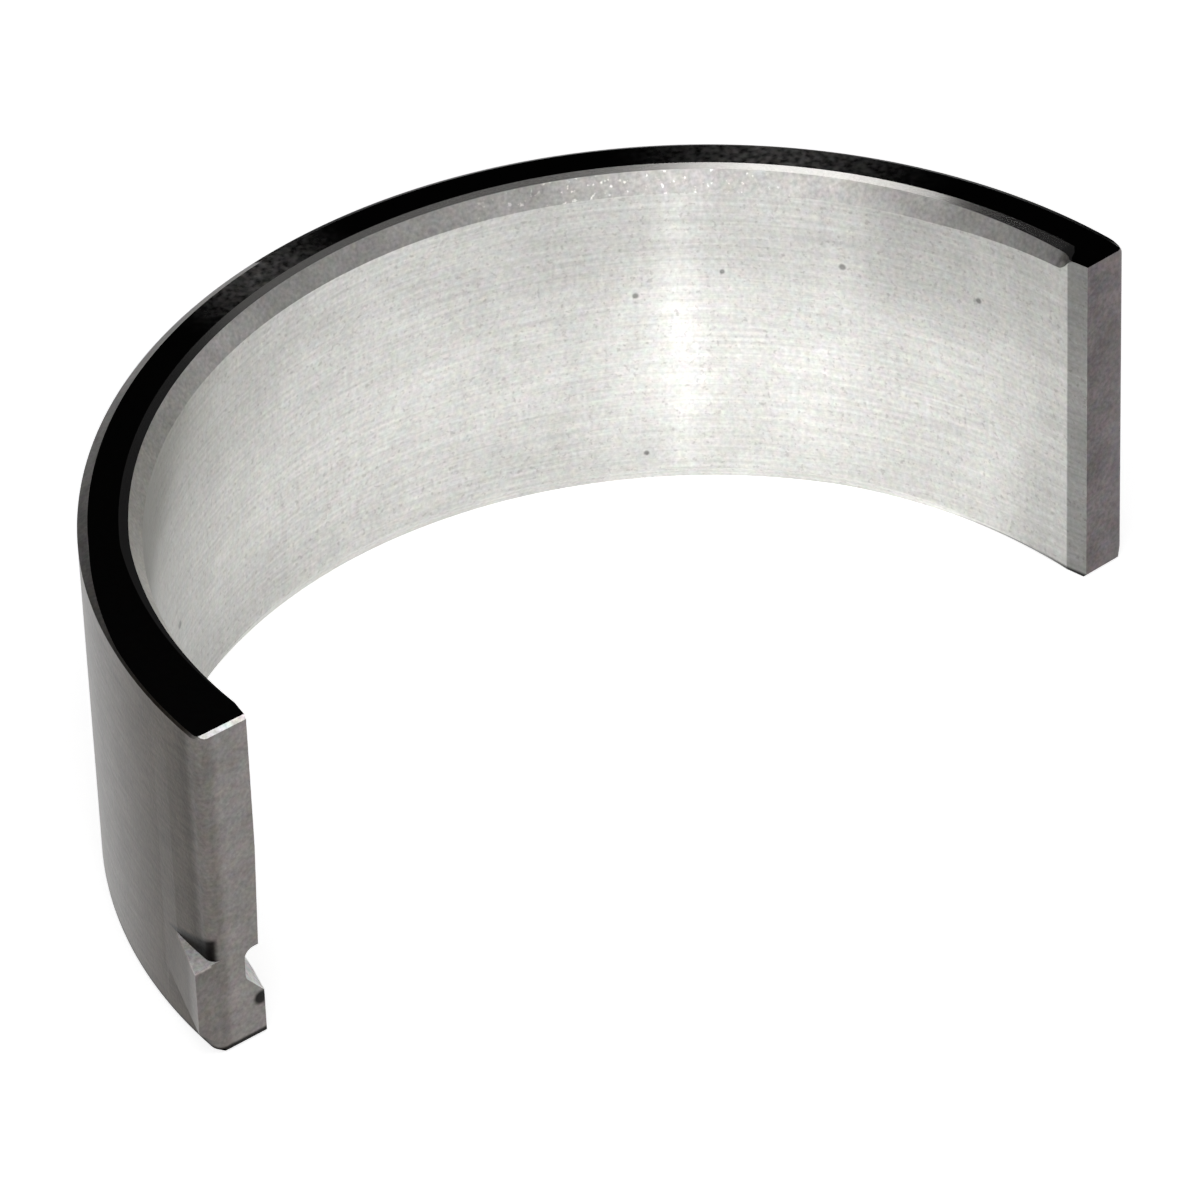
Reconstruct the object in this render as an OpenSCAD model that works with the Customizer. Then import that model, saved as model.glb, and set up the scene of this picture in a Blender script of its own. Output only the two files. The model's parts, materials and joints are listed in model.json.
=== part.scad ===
// Half-round bearing shell for the big end or a main journal of an engine.
// A lined steel strip is formed to a half circle. Its axial edges are chamfered, its bore
// is relieved beside the parting faces, and one corner is sheared and pressed outwards
// to make the locating lug. The shell stands on an axial end face. The bearing axis is Z,
// the crown is at +Y, and the origin is on the axis, halfway along the width.

/* [Shell] */
// Diameter of the housing bore that the shell is pressed into
housing_d = 56; // [44:0.5:80]
// Wall thickness, steel backing and lining together
wall = 3; // [2.6:0.1:4]
// Width along the bearing axis
width = 18.8; // [14:0.2:30]
// Free spread, by which the loose shell stands wider than its housing bore
free_spread = 0.9; // [0.2:0.1:1.6]

/* [Axial edges] */
// Radial width of the chamfer along both axial edges of the bore
bore_chamfer = 0.6; // [0.45:0.05:0.8]
// Height of that chamfer
bore_chamfer_height = 0.9; // [0.4:0.05:1.2]
// Distance from the plain parting face at which the upper chamfer stops
upper_stop_plain = 1.2; // [0.6:0.1:4]
// Distance from the plain parting face at which the lower chamfer stops
lower_stop_plain = 4; // [1:0.5:4]
// Distance from the parting face with the lug at which both chamfers stop
stop_lug = 6; // [1:0.5:10]
// Radial width of the slightly sloping land between the upper bore chamfer and the end face
land_width = 0.7; // [0.2:0.05:0.9]
// How far the land drops from the end face to the bore chamfer
land_drop = 0.1; // [0.05:0.01:0.15]
// Radial width of the chamfer along both axial edges of the back
back_chamfer = 0.5; // [0.2:0.05:0.6]
// Height of that chamfer
back_chamfer_height = 0.3; // [0.2:0.05:0.35]

/* [Parting ends] */
// Chamfer on the back edge of the parting face with the lug
lug_end_chamfer = 0.3; // [0.1:0.05:0.4]
// Radial width of the larger chamfer on the back edge of the plain parting face
plain_end_chamfer = 0.65; // [0.3:0.05:1]
// Length of that chamfer along the back
plain_end_chamfer_length = 1; // [0.5:0.1:2]
// Chamfer that breaks the lower corner of that chamfer
plain_corner_break = 0.45; // [0.4:0.05:0.7]
// Chamfer that breaks the axial edges of both parting faces
face_edge_break = 0.25; // [0.1:0.05:0.4]
// Length of the relief in the bore beside each parting face
relief_length = 1.2; // [0.6:0.1:3]
// Depth of that relief at the parting face
relief_depth = 0.22; // [0.1:0.02:0.4]

/* [Locating lug] */
// Height of the lug's lower corner above the lower end face
lug_offset = 1.9; // [1.8:0.1:8]
// Axial width of the lug, from its lower corner up to its sheared side
lug_width = 3.7; // [3:0.1:5]
// How far the lug stands proud of the back at the parting face
lug_proud = 1; // [0.4:0.05:1.2]
// Length of the lug along its sheared side, from the parting face to its root
lug_length = 3.4; // [2:0.1:6]
// How much farther the root reaches at the lug's lower crease
lug_slant = 1.5; // [0.5:0.1:3]
// Height of the root's lower end above the lug's lower corner
lug_crease_rise = 1; // [0.5:0.1:1.5]

/* [Lug recess] */
// Depth of the punched recess in the bore at the parting face
recess_depth = 1.2; // [1:0.05:1.5]
// How far the recess's upper side lies below the lug's sheared side
recess_drop = 0.15; // [0.1:0.05:0.4]
// Rounding of the recess beside its floor
recess_round = 0.5; // [0.3:0.05:0.6]
// Height of the recess's flat floor
recess_floor = 1; // [0.5:0.1:1.2]
// Length of the recess along the bore, to where its floor runs out
recess_length = 3; // [2:0.1:6]
// How far the bore edge above the recess is drawn outwards with it
edge_draw = 0.25; // [0.1:0.05:0.3]
// Height along the parting face over which that draw fades out
edge_draw_height = 9; // [5:0.5:10]

/* [Hidden] */
$fn = 180;

// Loose shape: the back keeps the length of half the housing bore on a larger radius
back_r = (housing_d + free_spread) / 2;
bore_r = back_r - wall;
arc_angle = 180 * housing_d / (housing_d + free_spread);
end_angle = (180 - arc_angle) / 2;

// Height of the line along which the corner is sheared, the lug's flat upper side
shear_z = lug_offset + lug_width;
// Depth below the back at which the lug's root is buried
root_sink = 0.1;
// Foot of the lug's 45 degree lower side, inside the wall behind the parting chamfer
foot_depth = lug_end_chamfer + 0.2;
foot_z = lug_offset - lug_proud - foot_depth;
// Angle of the recess's sloping lower side from the radius
recess_slope = 53;
// Steps of the rounding beside the recess's floor
round_steps = 6;
// Overrun of a cutter past the surface that it cuts
overrun = 1;

// Distance of a round surface of radius r from the axis, y beside the parting plane
function surface_x(r, y) = sqrt(r * r - y * y);
// Point of the lug's root, an arc length away from the parting face, at height z
function root_point(arc_length, z) =
    let (turn = arc_length / back_r * 180 / PI, r = back_r - root_sink)
    [r * cos(turn), r * sin(turn), z];

// Puts what is drawn beside +X, with +Y into the wall, at the +X parting face
module at_right_end() {
    rotate([0, 0, end_angle]) children();
}

// The same at the -X parting face, which has the lug
module at_left_end() {
    mirror([1, 0, 0]) at_right_end() children();
}

// Draws the same at the lower end face and, turned over, at the upper one
module at_both_end_faces() {
    children();
    translate([0, 0, width]) mirror([0, 0, 1]) children();
}

// Formed strip with its chamfered back
module formed_strip() {
    rotate([0, 0, end_angle])
        rotate_extrude(angle = arc_angle)
            polygon([
                [bore_r, 0],
                [back_r - back_chamfer, 0],
                [back_r, back_chamfer_height],
                [back_r, width - back_chamfer_height],
                [back_r - back_chamfer, width],
                [bore_r, width]
            ]);
}

// Sweeps a section along the bore between two stops, given as lengths from the parting faces
module swept_between(plain_stop, lug_stop) {
    first_angle = plain_stop / bore_r * 180 / PI;
    last_angle = lug_stop / bore_r * 180 / PI;
    rotate([0, 0, end_angle + first_angle])
        rotate_extrude(angle = arc_angle - first_angle - last_angle) children();
}

// Cutter for the chamfers of the bore and for the land beside the upper one
module bore_edge_cutter() {
    land_r = bore_r + bore_chamfer;
    swept_between(lower_stop_plain, stop_lug)
        polygon([
            [bore_r - overrun, -overrun],
            [land_r, -overrun],
            [land_r, 0],
            [bore_r, bore_chamfer_height],
            [bore_r - overrun, bore_chamfer_height]
        ]);
    swept_between(upper_stop_plain, stop_lug)
        polygon([
            [bore_r - overrun, width + overrun],
            [land_r + land_width, width + overrun],
            [land_r + land_width, width],
            [land_r, width - land_drop],
            [bore_r, width - land_drop - bore_chamfer_height],
            [bore_r - overrun, width - land_drop - bore_chamfer_height]
        ]);
}

// Cutter that breaks an edge running along X at 45 degrees, with the wall on +Y and +Z
module edge_cutter(cut, length) {
    translate([-overrun, 0, 0])
        rotate([90, 0, 90])
            linear_extrude(length + 2 * overrun)
                polygon([
                    [-overrun, -overrun],
                    [cut + overrun, -overrun],
                    [-overrun, cut + overrun]
                ]);
}

// Cutter for the chamfer on the back edge of a parting face
module back_edge_cutter(cut, length) {
    slope = cut / length;
    translate([0, 0, -overrun])
        linear_extrude(width + 2 * overrun)
            polygon([
                [back_r - cut - slope * overrun, -overrun],
                [back_r + slope * overrun, -overrun],
                [back_r + slope * overrun, length + overrun]
            ]);
}

// Cutters that both parting ends have: the relief in the bore and the broken axial edges
module parting_face_cutters() {
    relief_slope = (bore_r + relief_depth - surface_x(bore_r, relief_length)) / relief_length;
    translate([0, 0, -overrun])
        linear_extrude(width + 2 * overrun)
            polygon([
                [bore_r - overrun, -overrun],
                [bore_r + relief_depth + relief_slope * overrun, -overrun],
                [surface_x(bore_r, relief_length), relief_length],
                [bore_r - overrun, relief_length]
            ]);
    at_both_end_faces()
        translate([bore_r, 0, 0]) edge_cutter(face_edge_break, wall);
}

// Cutters for the plain end: its larger chamfer, with that chamfer's lower corner broken
module plain_end_cutters() {
    back_edge_cutter(plain_end_chamfer, plain_end_chamfer_length);
    translate([back_r - plain_end_chamfer, 0, 0])
        rotate([0, 0, atan2(plain_end_chamfer_length, plain_end_chamfer)])
            edge_cutter(plain_corner_break, norm([plain_end_chamfer, plain_end_chamfer_length]));
}

// Pressed-out corner: flat sheared side on top, a ramp down to its root on the back,
// and a sloping lower side
module locating_lug() {
    polyhedron(
        points = [
            [back_r - wall / 2, 0, shear_z],
            [back_r + lug_proud, 0, shear_z],
            [back_r + lug_proud, 0, lug_offset],
            [back_r - foot_depth, 0, foot_z],
            root_point(lug_length, shear_z),
            root_point(lug_length + lug_slant, lug_offset + lug_crease_rise)
        ],
        faces = [[0, 4, 1], [0, 1, 2, 3], [1, 5, 2], [1, 4, 5], [2, 5, 3], [0, 5, 4], [0, 3, 5]]
    );
}

// Points of the rounding between the recess's floor and one of its sides, seen along the bore
function round_points(z, from, to) = [
    for (step = [0:round_steps])
        let (turn = from + (to - from) * step / round_steps)
        [recess_round * (cos(turn) - 1), z + recess_round * sin(turn)]
];

// Mark that the lug's punch leaves in the bore, deepest at the parting face, with the bore
// edge above it drawn outwards
module lug_recess() {
    runout_x = surface_x(bore_r, recess_length);
    tilt = atan((bore_r + recess_depth - runout_x) / recess_length);
    top_z = shear_z - recess_drop;
    high_z = top_z - recess_round;
    low_z = high_z - recess_floor;
    inner_x = -recess_depth - overrun;
    edge_x = relief_depth - recess_depth;
    side_x = recess_round * (sin(recess_slope) - 1);
    side_z = low_z - recess_round * cos(recess_slope);
    translate([bore_r + recess_depth, 0, 0])
        rotate([0, 0, tilt])
            translate([0, recess_length + overrun, 0])
                rotate([90, 0, 0])
                    linear_extrude(recess_length + 2 * overrun)
                        polygon(concat(
                            [
                                [inner_x, top_z + 2 * edge_draw_height],
                                [edge_x - edge_draw, top_z + 2 * edge_draw_height],
                                [edge_x + edge_draw, top_z]
                            ],
                            round_points(high_z, 90, 0),
                            round_points(low_z, 0, recess_slope - 90),
                            [[inner_x, side_z - (side_x - inner_x) * tan(recess_slope)]]
                        ));
}

module bearing_shell() {
    color("silver")
        translate([0, 0, -width / 2])
            difference() {
                union() {
                    difference() {
                        formed_strip();
                        bore_edge_cutter();
                        at_right_end() plain_end_cutters();
                        at_right_end() parting_face_cutters();
                        at_left_end() back_edge_cutter(lug_end_chamfer, lug_end_chamfer);
                        at_left_end() parting_face_cutters();
                    }
                    at_left_end() locating_lug();
                }
                at_left_end() lug_recess();
            }
}

bearing_shell();
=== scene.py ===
import json
from math import asin, atan2, cos, pi, radians, sin, sqrt, tan

import bmesh
import bpy
from bpy.props import FloatProperty, FloatVectorProperty, IntProperty, PointerProperty
from mathutils import Matrix, Vector


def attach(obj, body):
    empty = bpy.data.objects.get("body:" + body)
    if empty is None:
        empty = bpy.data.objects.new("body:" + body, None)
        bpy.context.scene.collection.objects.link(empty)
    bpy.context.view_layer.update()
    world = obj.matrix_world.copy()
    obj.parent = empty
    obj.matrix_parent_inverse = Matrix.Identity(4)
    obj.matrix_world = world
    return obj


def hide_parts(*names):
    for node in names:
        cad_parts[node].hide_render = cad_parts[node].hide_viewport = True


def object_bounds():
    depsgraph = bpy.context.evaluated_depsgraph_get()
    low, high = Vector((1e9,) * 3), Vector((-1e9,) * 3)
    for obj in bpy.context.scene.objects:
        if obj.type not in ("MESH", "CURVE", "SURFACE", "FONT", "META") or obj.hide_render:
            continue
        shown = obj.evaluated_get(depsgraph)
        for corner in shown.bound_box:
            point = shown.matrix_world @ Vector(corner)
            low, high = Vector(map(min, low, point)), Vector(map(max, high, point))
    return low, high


bl_info = {
    "name": "Bearing Shell",
    "version": (1, 0, 0),
    "blender": (4, 5, 0),
    "location": "3D View > Sidebar > Bearing",
    "description": "Models a half-round engine bearing shell, its finishes and its studio",
    "category": "Object",
}

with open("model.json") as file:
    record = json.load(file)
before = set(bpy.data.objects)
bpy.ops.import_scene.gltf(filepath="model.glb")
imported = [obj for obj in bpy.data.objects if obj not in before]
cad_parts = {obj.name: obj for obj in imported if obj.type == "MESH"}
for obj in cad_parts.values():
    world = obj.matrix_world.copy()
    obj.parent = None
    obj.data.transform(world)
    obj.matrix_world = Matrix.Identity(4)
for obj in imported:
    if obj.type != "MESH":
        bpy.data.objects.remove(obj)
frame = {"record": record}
CAD_LOW, CAD_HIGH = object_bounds()

MM = 0.001
NODE = "bearing_shell"
BODY = "root"
MOUNTS = {mount["name"]: mount for mount in frame["record"]["mounts"]}

# Main sizes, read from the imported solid
BORE_R = MOUNTS["journal_bore"]["dims"]["r_mm"] * MM
BACK_R = MOUNTS["housing_seat"]["pos_m"][1]
MIDDLE_R = (BORE_R + BACK_R) / 2
HALF_WIDTH = CAD_HIGH.z
END_ANGLE = asin(MOUNTS["parting_face_right"]["axis"][0])
ARC_ANGLE = pi - 2 * END_ANGLE

# Sides of X on which the two parting faces lie
PLAIN_SIDE = 1
LUG_SIDE = -1

# How near a vertex lies to the place at which it is sought
NEAR = 0.01 * MM
# Distance within which vertices are one
MERGE = 0.001 * MM
# Overrun of a punch past the surface that it cuts
OVERRUN = 1 * MM
# Depth below the back at which the lug's root is buried
ROOT_SINK = 0.1 * MM
# Length that only the long edges of a punch exceed
LONG_EDGE = 4 * MM
# Edges that turn less than this are shaded smooth
SMOOTH_ANGLE = radians(22)
# Angle round the axis up to which the upper back chamfer is as dark as the end face, as painted
# dark reflection
DARK_CHAMFER_END = radians(97)
# How far from the X axis the faces of the parting ends and of the recess have their centres
FACE_REACH = 2 * MM
RECESS_REACH = 4 * MM
# Rings of vertices round the back edge of a parting face, and steps of the recess's rounding
ROUND_STEPS = 5
RECESS_STEPS = 8
# Radial width that is left of the back chamfer at a parting face
CHAMFER_REST = 0.1 * MM
# Share that is left of a bore chamfer where it has faded out
FADED = 0.02
# Height within which the vertices of a faded bore chamfer lie
EDGE_BAND = 0.05 * MM
# Dark specks in the lining: length from the lug's parting face, height and size, in millimetres
SPECKS = (
    (54.5, 11.7, 0.22), (64.8, 13.9, 0.25), (58.8, 13.0, 0.18),
    (72.1, 13.95, 0.22), (54.8, 2.0, 0.2), (23.7, 6.5, 0.3))
# Features per millimetre of the metal's fine grain and of its changes of hue
GRAIN_SCALE = 5.0
HUE_SCALE = 2.0

SENSOR_MM = 36.0
# Lamps: name, degrees round the axis from the camera and above the floor, distance, width,
# height and brightness
LAMPS = (
    ("overhead", 0, 80, 0.9, 0.5, 0.5, 1.5),
    ("front_panel", -60, 30, 0.8, 0.92, 0.35, 0.85),
    ("front_panel", 0, 30, 0.8, 0.92, 0.35, 0.65),
    ("front_panel", 60, 30, 0.8, 0.92, 0.35, 0.65),
    ("middle_panel", -10, 29, 0.79, 0.7, 0.3, 1.2),
    ("right_panel", 105, 10, 0.8, 0.5, 0.3, 0.6),
    ("low_panel", -12, 9, 0.8, 0.8, 0.2, 1.15),
    ("left_lamp", 237, 40, 0.8, 0.22, 0.26, 1.2),
    ("left_glow", 209, 9, 0.8, 0.4, 0.26, 0.6),
    ("right_key", 74, 39, 0.7, 0.26, 0.16, 2.0),
    ("back_strip", 186.1, 53.5, 0.8, 0.115, 0.12, 2.15),
    ("back_glow", 168, 50, 0.8, 0.25, 0.15, 0.15),
    ("flash", 0, 6, 0.5, 0.019, 0.1, 25),
)


class ShellSizes(bpy.types.PropertyGroup):
    """Sizes of the shell's small forms"""

    bore_chamfer: FloatProperty(
        name="Bore chamfer", description="Radial width of the chamfer along the bore's edges",
        default=0.6 * MM, unit="LENGTH")
    bore_chamfer_height: FloatProperty(
        name="Bore chamfer height", description="Height of that chamfer along the axis",
        default=1.0 * MM, unit="LENGTH")
    land_width: FloatProperty(
        name="Land width", description="Width of the sloping land inside the upper end face",
        default=0.45 * MM, unit="LENGTH")
    land_drop: FloatProperty(
        name="Land drop", description="How far the land drops towards the bore chamfer",
        default=0.065 * MM, unit="LENGTH")
    short_fade_start: FloatProperty(
        name="Short fade start",
        description="Distance from the plain end at which the upper chamfer starts",
        default=1.0 * MM, unit="LENGTH")
    short_fade: FloatProperty(
        name="Short fade", description="Length over which that chamfer grows from there",
        default=0.5 * MM, unit="LENGTH")
    long_fade: FloatProperty(
        name="Long fade", description="Length over which a bore chamfer grows at its other ends",
        default=14.0 * MM, unit="LENGTH")
    plain_taper: FloatProperty(
        name="Plain taper", description="By what share the upper chamfer narrows at the plain end",
        default=0.4)
    plain_taper_length: FloatProperty(
        name="Plain taper length", description="Length over which it narrows there",
        default=9.0 * MM, unit="LENGTH")
    back_chamfer: FloatProperty(
        name="Back chamfer", description="Radial width of the chamfer along the back's edges",
        default=0.5 * MM, unit="LENGTH")
    back_chamfer_height: FloatProperty(
        name="Back chamfer height", description="Height of that chamfer along the axis",
        default=0.3 * MM, unit="LENGTH")
    narrowing: FloatProperty(
        name="Narrowing", description="By how much that chamfer narrows at the lug's parting face",
        default=0.38 * MM, unit="LENGTH")
    narrowing_length: FloatProperty(
        name="Narrowing length", description="Length along the back over which it narrows",
        default=15.0 * MM, unit="LENGTH")
    lug_end_round: FloatProperty(
        name="Lug end rounding", description="Rounded back edge of the parting face with the lug",
        default=0.5 * MM, unit="LENGTH")
    plain_end_round: FloatProperty(
        name="Plain end rounding", description="Radial depth of the plain end's rounded back edge",
        default=0.65 * MM, unit="LENGTH")
    plain_round_length: FloatProperty(
        name="Plain rounding length", description="Length of that rounding along the back",
        default=1.4 * MM, unit="LENGTH")
    plain_corner_break: FloatProperty(
        name="Plain corner break", description="Break of the lower corner of that rounding",
        default=0.45 * MM, unit="LENGTH")
    face_edge_break: FloatProperty(
        name="Face edge break", description="Broken axial edges of the parting faces",
        default=0.18 * MM, unit="LENGTH")
    relief_length: FloatProperty(
        name="Relief length", description="Length of the bore relief beside a parting face",
        default=1.2 * MM, unit="LENGTH")
    relief_depth: FloatProperty(
        name="Relief depth", description="Depth of the bore relief at the parting face",
        default=0.22 * MM, unit="LENGTH")
    lug_offset: FloatProperty(
        name="Lug offset", description="Height of the lug's lower corner above the end face",
        default=1.9 * MM, unit="LENGTH")
    lug_width: FloatProperty(
        name="Lug width", description="Axial width from the lower corner to the sheared side",
        default=3.7 * MM, unit="LENGTH")
    lug_proud: FloatProperty(
        name="Lug height", description="How far the lug stands proud of the back",
        default=1.0 * MM, unit="LENGTH")
    lug_length: FloatProperty(
        name="Lug length", description="Length of the sheared side from the parting face",
        default=3.4 * MM, unit="LENGTH")
    lug_slant: FloatProperty(
        name="Lug slant", description="How much farther the root reaches at the lower crease",
        default=1.5 * MM, unit="LENGTH")
    lug_crease_rise: FloatProperty(
        name="Crease rise", description="Height of the root's lower end above the lower corner",
        default=1.0 * MM, unit="LENGTH")
    recess_depth: FloatProperty(
        name="Recess depth", description="Depth of the punch mark at the parting face",
        default=1.2 * MM, unit="LENGTH")
    recess_drop: FloatProperty(
        name="Recess drop", description="How far the punch mark's top lies below the lug's",
        default=0.15 * MM, unit="LENGTH")
    recess_round: FloatProperty(
        name="Recess rounding", description="Rounding beside the punch mark's floor",
        default=0.5 * MM, unit="LENGTH")
    recess_floor: FloatProperty(
        name="Recess floor", description="Height of the punch mark's flat floor",
        default=1.0 * MM, unit="LENGTH")
    recess_slope: FloatProperty(
        name="Recess slope", description="Slope of the punch mark's lower side",
        default=radians(53), unit="ROTATION")
    recess_length: FloatProperty(
        name="Recess length", description="Length of the punch mark along the bore",
        default=3.0 * MM, unit="LENGTH")
    edge_draw: FloatProperty(
        name="Edge draw", description="How far the bore edge above the mark is drawn outwards",
        default=0.25 * MM, unit="LENGTH")
    edge_draw_height: FloatProperty(
        name="Edge draw height", description="Height over which that draw fades out",
        default=9.0 * MM, unit="LENGTH")
    steps: IntProperty(
        name="Steps", description="Steps along the half circle", default=220, min=32)


class ShellFinish(bpy.types.PropertyGroup):
    """Colours of the shell's surfaces"""

    lining_color: FloatVectorProperty(
        name="Lining", description="Fine-bored lining in the bore",
        default=(0.78, 0.775, 0.745), size=3, subtype="COLOR", min=0, max=1)
    edge_color: FloatVectorProperty(
        name="Bore edge", description="Cut chamfer along the bore's edges",
        default=(0.45, 0.44, 0.425), size=3, subtype="COLOR", min=0, max=1)
    land_color: FloatVectorProperty(
        name="Land", description="Bright land beside the bore's upper chamfer",
        default=(0.5, 0.49, 0.47), size=3, subtype="COLOR", min=0, max=1)
    # The end faces' near-black colour is partly painted dark reflection
    rim_color: FloatVectorProperty(
        name="End faces", description="Dark end faces of the strip",
        default=(0.02, 0.0195, 0.019), size=3, subtype="COLOR", min=0, max=1)
    rubbed_color: FloatVectorProperty(
        name="Rubbed end face", description="Lighter rubbed places of the end faces",
        default=(0.4, 0.39, 0.38), size=3, subtype="COLOR", min=0, max=1)
    back_color: FloatVectorProperty(
        name="Back", description="Steel back",
        default=(0.150, 0.143, 0.137), size=3, subtype="COLOR", min=0, max=1)
    stain_color: FloatVectorProperty(
        name="Stain", description="Brownish stain on the back, beside the lug's parting face",
        default=(0.058, 0.049, 0.040), size=3, subtype="COLOR", min=0, max=1)
    plain_face_color: FloatVectorProperty(
        name="Plain parting face", description="Broached parting face without the lug",
        default=(0.128, 0.113, 0.115), size=3, subtype="COLOR", min=0, max=1)
    lug_face_color: FloatVectorProperty(
        name="Lug parting face", description="Broached parting face beside the lug",
        default=(0.200, 0.188, 0.180), size=3, subtype="COLOR", min=0, max=1)
    worn_color: FloatVectorProperty(
        name="Worn edge", description="Bright upper edge of the parting face with the lug",
        default=(0.6, 0.59, 0.58), size=3, subtype="COLOR", min=0, max=1)
    recess_color: FloatVectorProperty(
        name="Recess", description="Drawn lining in the punched recess",
        default=(0.9, 0.89, 0.87), size=3, subtype="COLOR", min=0, max=1)
    shear_color: FloatVectorProperty(
        name="Sheared side", description="Torn metal of the lug's sheared side",
        default=(0.8, 0.785, 0.76), size=3, subtype="COLOR", min=0, max=1)


class StudioSettings(bpy.types.PropertyGroup):
    """Camera, floor and lamps"""

    view_azimuth: FloatProperty(
        name="Azimuth", description="Turn of the camera round the bearing axis",
        default=radians(-38.6), unit="ROTATION")
    view_elevation: FloatProperty(
        name="Elevation", description="Angle of the camera above the floor",
        default=radians(37.907), unit="ROTATION")
    view_roll: FloatProperty(
        name="Roll", description="Tilt of the camera about its line of sight",
        default=radians(-2.107), unit="ROTATION")
    view_distance: FloatProperty(
        name="Distance", description="Distance of the camera from the shell's axis",
        default=437.65 * MM, unit="LENGTH")
    view_right: FloatProperty(
        name="Aim right", description="How far right of the axis the camera aims",
        default=-4.28 * MM, unit="LENGTH")
    view_up: FloatProperty(
        name="Aim up", description="How far above the lower end of the axis the camera aims",
        default=9.94 * MM, unit="LENGTH")
    view_lens: FloatProperty(
        name="Lens", description="Focal length in millimetres", default=274.94)
    floor_color: FloatVectorProperty(
        name="Floor", description="Colour of the floor",
        default=(0.9, 0.9, 0.9), size=3, subtype="COLOR", min=0, max=1)
    floor_glow: FloatProperty(
        name="Floor glow", description="Own light of the floor, seen directly and in metal",
        default=0.72)
    floor_radius: FloatProperty(
        name="Floor radius", description="Radius of the floor",
        default=1.5, unit="LENGTH")
    dark_color: FloatVectorProperty(
        name="Room", description="Dark room round the floor",
        default=(0.02, 0.02, 0.021), size=3, subtype="COLOR", min=0, max=1)


def deselect_all():
    """Leaves no object selected, in object mode."""
    bpy.ops.object.select_all(action="DESELECT")


def select_alone(piece):
    """Selects one piece alone and makes it the active one, in object mode."""
    deselect_all()
    piece.select_set(True)
    bpy.context.view_layer.objects.active = piece


def begin_edit(piece):
    """Opens one piece alone for editing, with nothing selected in it."""
    select_alone(piece)
    bpy.ops.object.mode_set(mode="EDIT")
    bpy.ops.mesh.select_all(action="DESELECT")


def end_edit():
    """Goes back to object mode."""
    bpy.ops.object.mode_set(mode="OBJECT")


def select_vertices(piece, wanted):
    """Selects, in edit mode, just the vertices whose place passes a test."""
    bpy.ops.mesh.select_mode(type="VERT")
    bpy.ops.mesh.select_all(action="DESELECT")
    mesh = bmesh.from_edit_mesh(piece.data)
    for vertex in mesh.verts:
        vertex.select = wanted(vertex.co)
    mesh.select_flush_mode()
    bmesh.update_edit_mesh(piece.data)


def move_vertices(piece, wanted, way):
    """Moves, in edit mode, the vertices whose place passes a test."""
    select_vertices(piece, wanted)
    bpy.ops.transform.translate(value=way)


def select_faces(piece, wanted):
    """Selects, in edit mode, just the faces whose centre and normal pass a test."""
    bpy.ops.mesh.select_mode(type="FACE")
    bpy.ops.mesh.select_all(action="DESELECT")
    mesh = bmesh.from_edit_mesh(piece.data)
    for face in mesh.faces:
        face.select = wanted(face.calc_center_median(), face.normal)
    mesh.select_flush_mode()
    bmesh.update_edit_mesh(piece.data)


def at_end(x, y, z, side):
    """Place of a point given beside a parting face: x from the axis, y into the wall."""
    across = x * cos(END_ANGLE) - y * sin(END_ANGLE)
    along = x * sin(END_ANGLE) + y * cos(END_ANGLE)
    return Vector((side * across, along, z - HALF_WIDTH))


def block(name, corners):
    """A cube whose corners are moved to the eight places given; equal places are merged."""
    deselect_all()
    bpy.ops.mesh.primitive_cube_add(size=2)
    piece = bpy.context.object
    piece.name = name
    begin_edit(piece)
    for sign, place in corners.items():
        corner = Vector(sign)
        way = place * (1 / MM) - corner
        move_vertices(piece, lambda co: (co - corner).length < NEAR, way)
    bpy.ops.mesh.select_all(action="SELECT")
    bpy.ops.transform.resize(value=(MM, MM, MM), center_override=(0, 0, 0))
    bpy.ops.mesh.remove_doubles(threshold=MERGE)
    bpy.ops.mesh.dissolve_degenerate(threshold=MERGE)
    bpy.ops.mesh.select_all(action="SELECT")
    bpy.ops.mesh.normals_make_consistent(inside=False)
    end_edit()
    return piece


def combine(piece, tool, operation):
    """Joins a tool to a piece or cuts it out, and removes the tool."""
    select_alone(piece)
    modifier = piece.modifiers.new("Boolean", "BOOLEAN")
    modifier.object = tool
    modifier.operation = operation
    modifier.solver = "EXACT"
    bpy.ops.object.modifier_apply(modifier=modifier.name)
    bpy.data.objects.remove(tool)


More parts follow.
